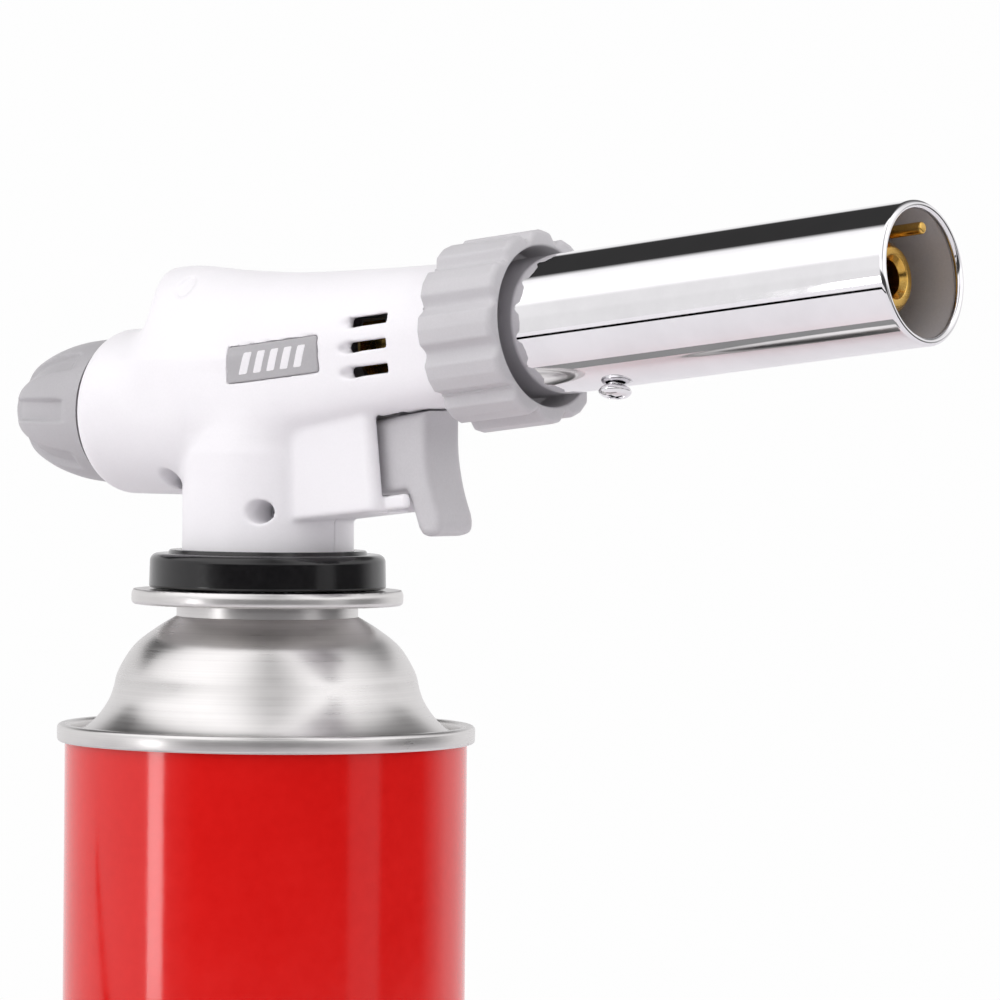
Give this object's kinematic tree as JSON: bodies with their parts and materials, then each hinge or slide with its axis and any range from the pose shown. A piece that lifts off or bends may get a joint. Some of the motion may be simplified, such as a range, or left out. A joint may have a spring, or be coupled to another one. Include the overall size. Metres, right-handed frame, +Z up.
{
  "type": "butane torch",
  "caption": "Butane torch head with piezo trigger, regulator knob and polished steel barrel, locked by a bayonet on an upright nozzle-type gas cartridge.",
  "frame": {"origin": "centre of the cartridge's foot, on the surface it stands on", "axes": "+Z up along the cartridge, +X the way the barrel points, +Y to the left of the barrel"},
  "size_m": [0.1819, 0.0686, 0.2467],
  "materials": {
    "red_enamel": "gloss printed and lacquered tinplate",
    "tinplate": "drawn tinplate, satin",
    "acetal": "moulded acetal",
    "rubber": "moulded nitrile rubber",
    "spring_steel": "drawn spring wire and strip",
    "black_plastic": "gloss black moulded nylon",
    "steel": "zinc plated steel",
    "brass": "turned brass",
    "chrome": "polished stainless steel",
    "diecast": "die-cast and machined",
    "white_plastic": "satin moulded ABS",
    "grey_plastic": "moulded ABS, fine texture",
    "ceramic": null,
    "silicone": "silicone lead insulation",
    "piezo_case": "moulded nylon",
    "label_grey": "printed plate"
  },
  "bodies": {
    "cartridge": {"can_body": "red_enamel", "can_bottom": "tinplate", "can_dome": "tinplate", "can_flange": "tinplate", "can_valve_cup": "tinplate", "can_valve_housing": "acetal", "can_valve_gasket": "rubber", "can_valve_spring": "spring_steel", "can_dip_tube": "acetal"},
    "head": {"base_ring": "black_plastic", "lock_hub": "steel", "hub_screws": "steel", "inlet_gasket": "rubber", "inlet_filter": "brass", "valve_body": "brass", "gland_nut": "brass", "gas_tube": "brass", "jet_holder": "brass", "gas_jet": "brass", "mixer_tube": "brass", "burner_nozzle": "brass", "burner_disc": "steel", "barrel_socket": "diecast", "barrel_tube": "chrome", "tube_screw": "chrome", "electrode": "brass", "electrode_insulator": "ceramic", "ignition_lead": "silicone", "piezo_body": "piezo_case", "piezo_spring": "spring_steel", "earth_contact": "spring_steel", "housing_right": "white_plastic", "housing_left": "white_plastic", "housing_screws": "steel", "nameplate": "label_grey"},
    "valve_stem": {"can_valve_stem": "acetal"},
    "spindle_seal": {"spindle_seal": "rubber"},
    "knob": {"regulator_spindle": "steel", "knob": "grey_plastic", "knob_screw": "steel"},
    "air_collar": {"air_collar": "grey_plastic", "air_sleeve": "grey_plastic"},
    "trigger": {"trigger": "grey_plastic", "piezo_plunger": "acetal"}
  },
  "joints": [
    {"name": "head_lock", "type": "hinge", "parent": "cartridge", "child": "head", "pos_m": [0, 0, 0.1821], "axis": [0, 0, 1], "range_deg": [0, 36]},
    {"name": "valve_stem_press", "type": "slide", "parent": "cartridge", "child": "valve_stem", "axis": [0, 0, -1], "range_m": [0, 0.0015], "stiffness_N_per_m": 1500, "springref_m": -0.002, "deforming": ["can_valve_spring"]},
    {"name": "trigger_pull", "type": "slide", "parent": "head", "child": "trigger", "axis": [-0.9937, 0, -0.1123], "range_m": [0, 0.0065], "stiffness_N_per_m": 1200, "springref_m": -0.002, "deforming": ["piezo_spring"]},
    {"name": "knob_travel", "type": "slide", "parent": "head", "child": "spindle_seal", "axis": [-1, 0, 0], "range_m": [0, 0.00095]},
    {"name": "knob_turn", "type": "hinge", "parent": "spindle_seal", "child": "knob", "pos_m": [-0.04, 0, 0.2136], "axis": [-1, 0, 0], "range_deg": [0, 450]},
    {"name": "collar_turn", "type": "hinge", "parent": "head", "child": "air_collar", "pos_m": [0.04968, 0, 0.22692], "axis": [0.9937, 0, 0.1123], "range_deg": [0, 60]}
  ],
  "couplings": [
    {"joint": "knob_travel", "follows": "knob_turn", "m_per_rad": 0.00011937}
  ]
}
